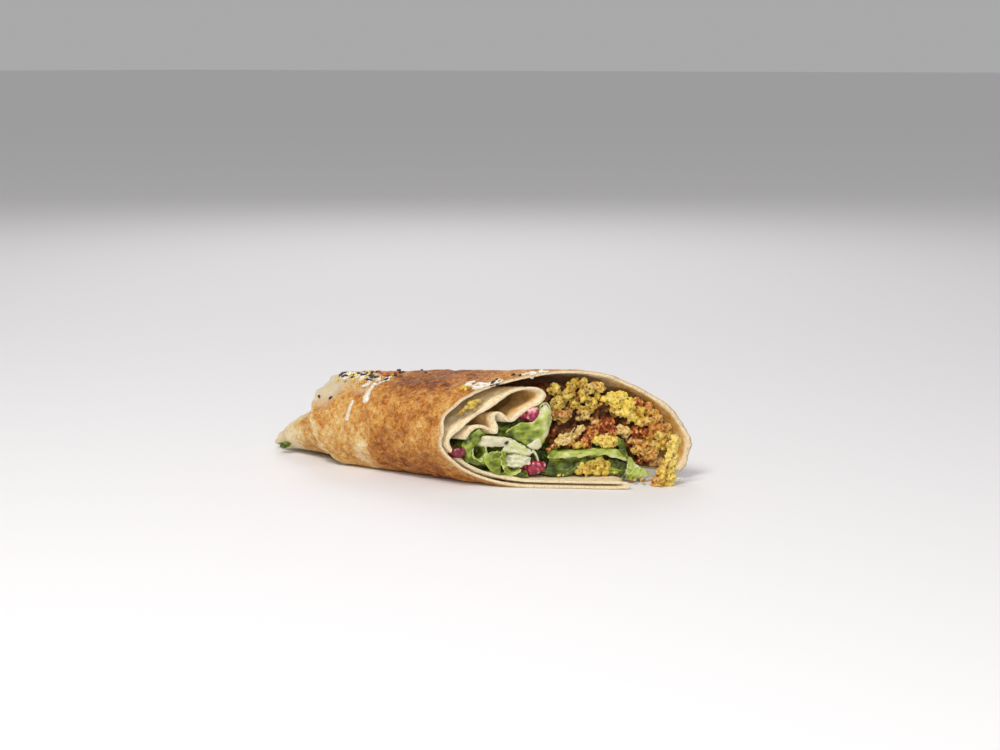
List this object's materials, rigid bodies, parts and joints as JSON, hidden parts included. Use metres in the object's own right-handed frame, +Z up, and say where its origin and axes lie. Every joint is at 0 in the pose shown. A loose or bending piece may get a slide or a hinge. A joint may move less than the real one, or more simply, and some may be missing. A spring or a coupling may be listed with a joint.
{
  "type": "falafel wrap",
  "caption": "Half of a falafel wrap lying on its seam: toasted flatbread rolled round falafel, lettuce and pickled turnip, with a slanted cut end and a tapered tail.",
  "frame": {"origin": "middle of the base of the bounding box, on the surface that the wrap lies on", "axes": "+X along the roll, from the tail to the cut end; +Z up; the slanted cut faces +X and -Y"},
  "size_m": [0.2152, 0.0864, 0.0548],
  "materials": {
    "bread": "toasted flatbread, matt, browned in patches",
    "falafel": "crumbled falafel, matt, yellow inside with browned crust",
    "lettuce": "fresh leaf, slightly glossy",
    "pale_leaf": "pale leaf rib and white cabbage, moist",
    "turnip": "pink pickled turnip, wet"
  },
  "bodies": {
    "root": {"flatbread": "bread", "falafel_heap": "falafel", "falafel_pocket": "falafel", "falafel_low": "falafel", "falafel_spill": "falafel", "lettuce_upper": "lettuce", "lettuce_curled": "lettuce", "lettuce_low": "lettuce", "lettuce_right": "lettuce", "lettuce_blade": "lettuce", "lettuce_rib": "pale_leaf", "white_cabbage": "pale_leaf", "turnip_left": "turnip", "turnip_middle": "turnip", "turnip_low": "turnip", "lettuce_tail": "lettuce"}
  },
  "joints": []
}
